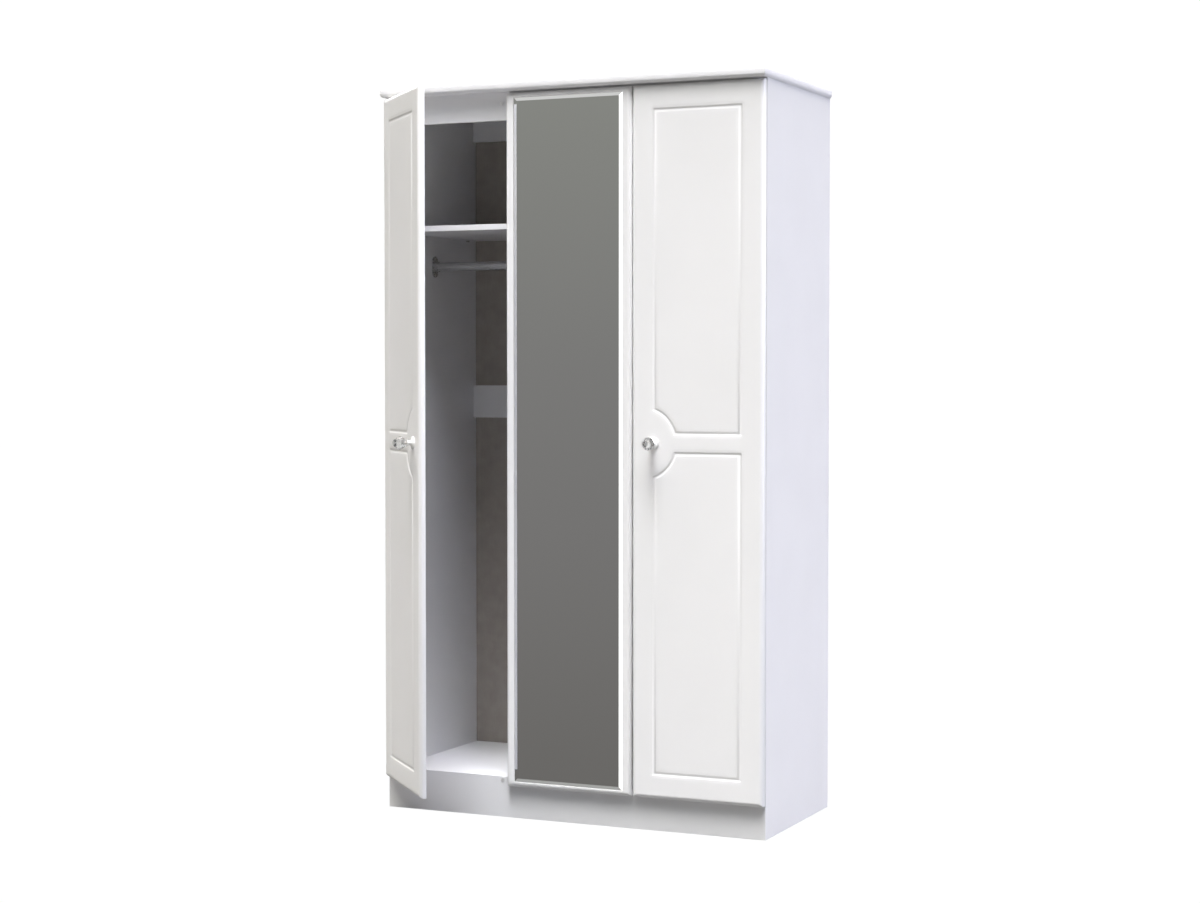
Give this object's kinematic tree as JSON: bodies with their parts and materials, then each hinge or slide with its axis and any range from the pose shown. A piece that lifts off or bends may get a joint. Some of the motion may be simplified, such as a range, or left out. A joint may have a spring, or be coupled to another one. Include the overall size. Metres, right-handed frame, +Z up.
{
  "type": "wardrobe",
  "caption": "White wardrobe with hinged doors, one mirrored and two panelled, glass knobs, hat shelves and hanging rails behind them",
  "frame": {"origin": "floor level, at mid width, in the plane of the wardrobe's back", "axes": "+X to the wardrobe's right as seen from the front, +Y from the front to the back, +Z up"},
  "size_m": [1.1166, 0.7715, 1.97],
  "materials": {
    "white_door": "satin white foil wrapped over medium density fibreboard, with soft routed edges",
    "white_board": "fine-textured white melamine on particle board, with thin white edging",
    "hardboard_back": "painted thin hardboard, taupe, with a faint fibrous texture",
    "mirror_glass": "silvered glass with a polished bevel",
    "cut_crystal": "clear faceted crystal, polished",
    "white_enamel": "glossy white enamelled turned metal",
    "steel_rail": "satin chromed steel tube and pressed sockets",
    "nickel_steel": "nickel-plated pressed steel and screws",
    "beech_dowel": "plain fluted beech",
    "clear_buffer": "soft translucent self-adhesive pads",
    "foam_tape": "double-sided foam tape"
  },
  "bodies": {
    "carcass": {"double_left_gable": "white_board", "double_right_gable": "white_board", "double_base_board": "white_board", "double_front_plinth": "white_board", "double_rear_plinth": "white_board", "double_front_top_rail": "white_board", "double_rear_top_rail": "white_board", "double_rear_mid_rail": "white_board", "double_back_panel": "hardboard_back", "double_hat_shelf": "white_board", "double_hanging_rail": "steel_rail", "double_rail_sockets": "steel_rail", "single_left_gable": "white_board", "single_right_gable": "white_board", "single_base_board": "white_board", "single_front_plinth": "white_board", "single_rear_plinth": "white_board", "single_front_top_rail": "white_board", "single_rear_top_rail": "white_board", "single_rear_mid_rail": "white_board", "single_back_panel": "hardboard_back", "single_hat_shelf": "white_board", "single_hanging_rail": "steel_rail", "single_rail_sockets": "steel_rail", "top_board": "white_board", "carcass_dowels": "beech_dowel", "carcass_joining_bolts": "nickel_steel", "shelf_pins": "nickel_steel", "rail_socket_screws": "nickel_steel", "back_panel_nails": "nickel_steel", "door_buffers": "clear_buffer", "hinge_plates": "nickel_steel", "hinge_arms": "nickel_steel", "hinge_arm_pins": "nickel_steel", "hinge_plate_screws": "nickel_steel", "hinge_adjusting_screws": "nickel_steel"},
    "left_door_links": {"left_hinge_links": "nickel_steel"},
    "centre_door_links": {"centre_hinge_links": "nickel_steel"},
    "right_door_links": {"right_hinge_links": "nickel_steel"},
    "left_door": {"left_hinge_cups": "nickel_steel", "left_hinge_cup_pins": "nickel_steel", "left_hinge_cup_screws": "nickel_steel", "left_door_panel": "white_door", "left_knob_rose": "white_enamel", "left_knob_crystal": "cut_crystal", "left_knob_bolt": "nickel_steel"},
    "centre_door": {"centre_hinge_cups": "nickel_steel", "centre_hinge_cup_pins": "nickel_steel", "centre_hinge_cup_screws": "nickel_steel", "centre_door_panel": "white_door", "centre_mirror": "mirror_glass", "centre_mirror_pads": "foam_tape"},
    "right_door": {"right_hinge_cups": "nickel_steel", "right_hinge_cup_pins": "nickel_steel", "right_hinge_cup_screws": "nickel_steel", "right_door_panel": "white_door", "right_knob_rose": "white_enamel", "right_knob_crystal": "cut_crystal", "right_knob_bolt": "nickel_steel"}
  },
  "joints": [
    {"name": "left_link_swing", "type": "hinge", "parent": "carcass", "child": "left_door_links", "pos_m": [-0.51225, -0.492, 1.01675], "axis": [0, 0, -1], "range_deg": [-12.5, 11.5]},
    {"name": "left_door_swing", "type": "hinge", "parent": "left_door_links", "child": "left_door", "pos_m": [-0.54083, -0.507, 1.01675], "axis": [0, 0, -1], "range_deg": [-57.5, 62.5]},
    {"name": "centre_link_swing", "type": "hinge", "parent": "carcass", "child": "centre_door_links", "pos_m": [0.14425, -0.492, 1.01675], "axis": [0, 0, 1], "range_deg": [-24, 0]},
    {"name": "centre_door_swing", "type": "hinge", "parent": "centre_door_links", "child": "centre_door", "pos_m": [0.17525, -0.501, 1.01675], "axis": [0, 0, 1], "range_deg": [0, 120]},
    {"name": "right_link_swing", "type": "hinge", "parent": "carcass", "child": "right_door_links", "pos_m": [0.51225, -0.492, 1.01675], "axis": [0, 0, 1], "range_deg": [-24, 0]},
    {"name": "right_door_swing", "type": "hinge", "parent": "right_door_links", "child": "right_door", "pos_m": [0.54325, -0.501, 1.01675], "axis": [0, 0, 1], "range_deg": [0, 120]}
  ],
  "couplings": [
    {"joint": "left_link_swing", "follows": "left_door_swing", "ratio": -0.2},
    {"joint": "centre_link_swing", "follows": "centre_door_swing", "ratio": -0.2},
    {"joint": "right_link_swing", "follows": "right_door_swing", "ratio": -0.2}
  ]
}
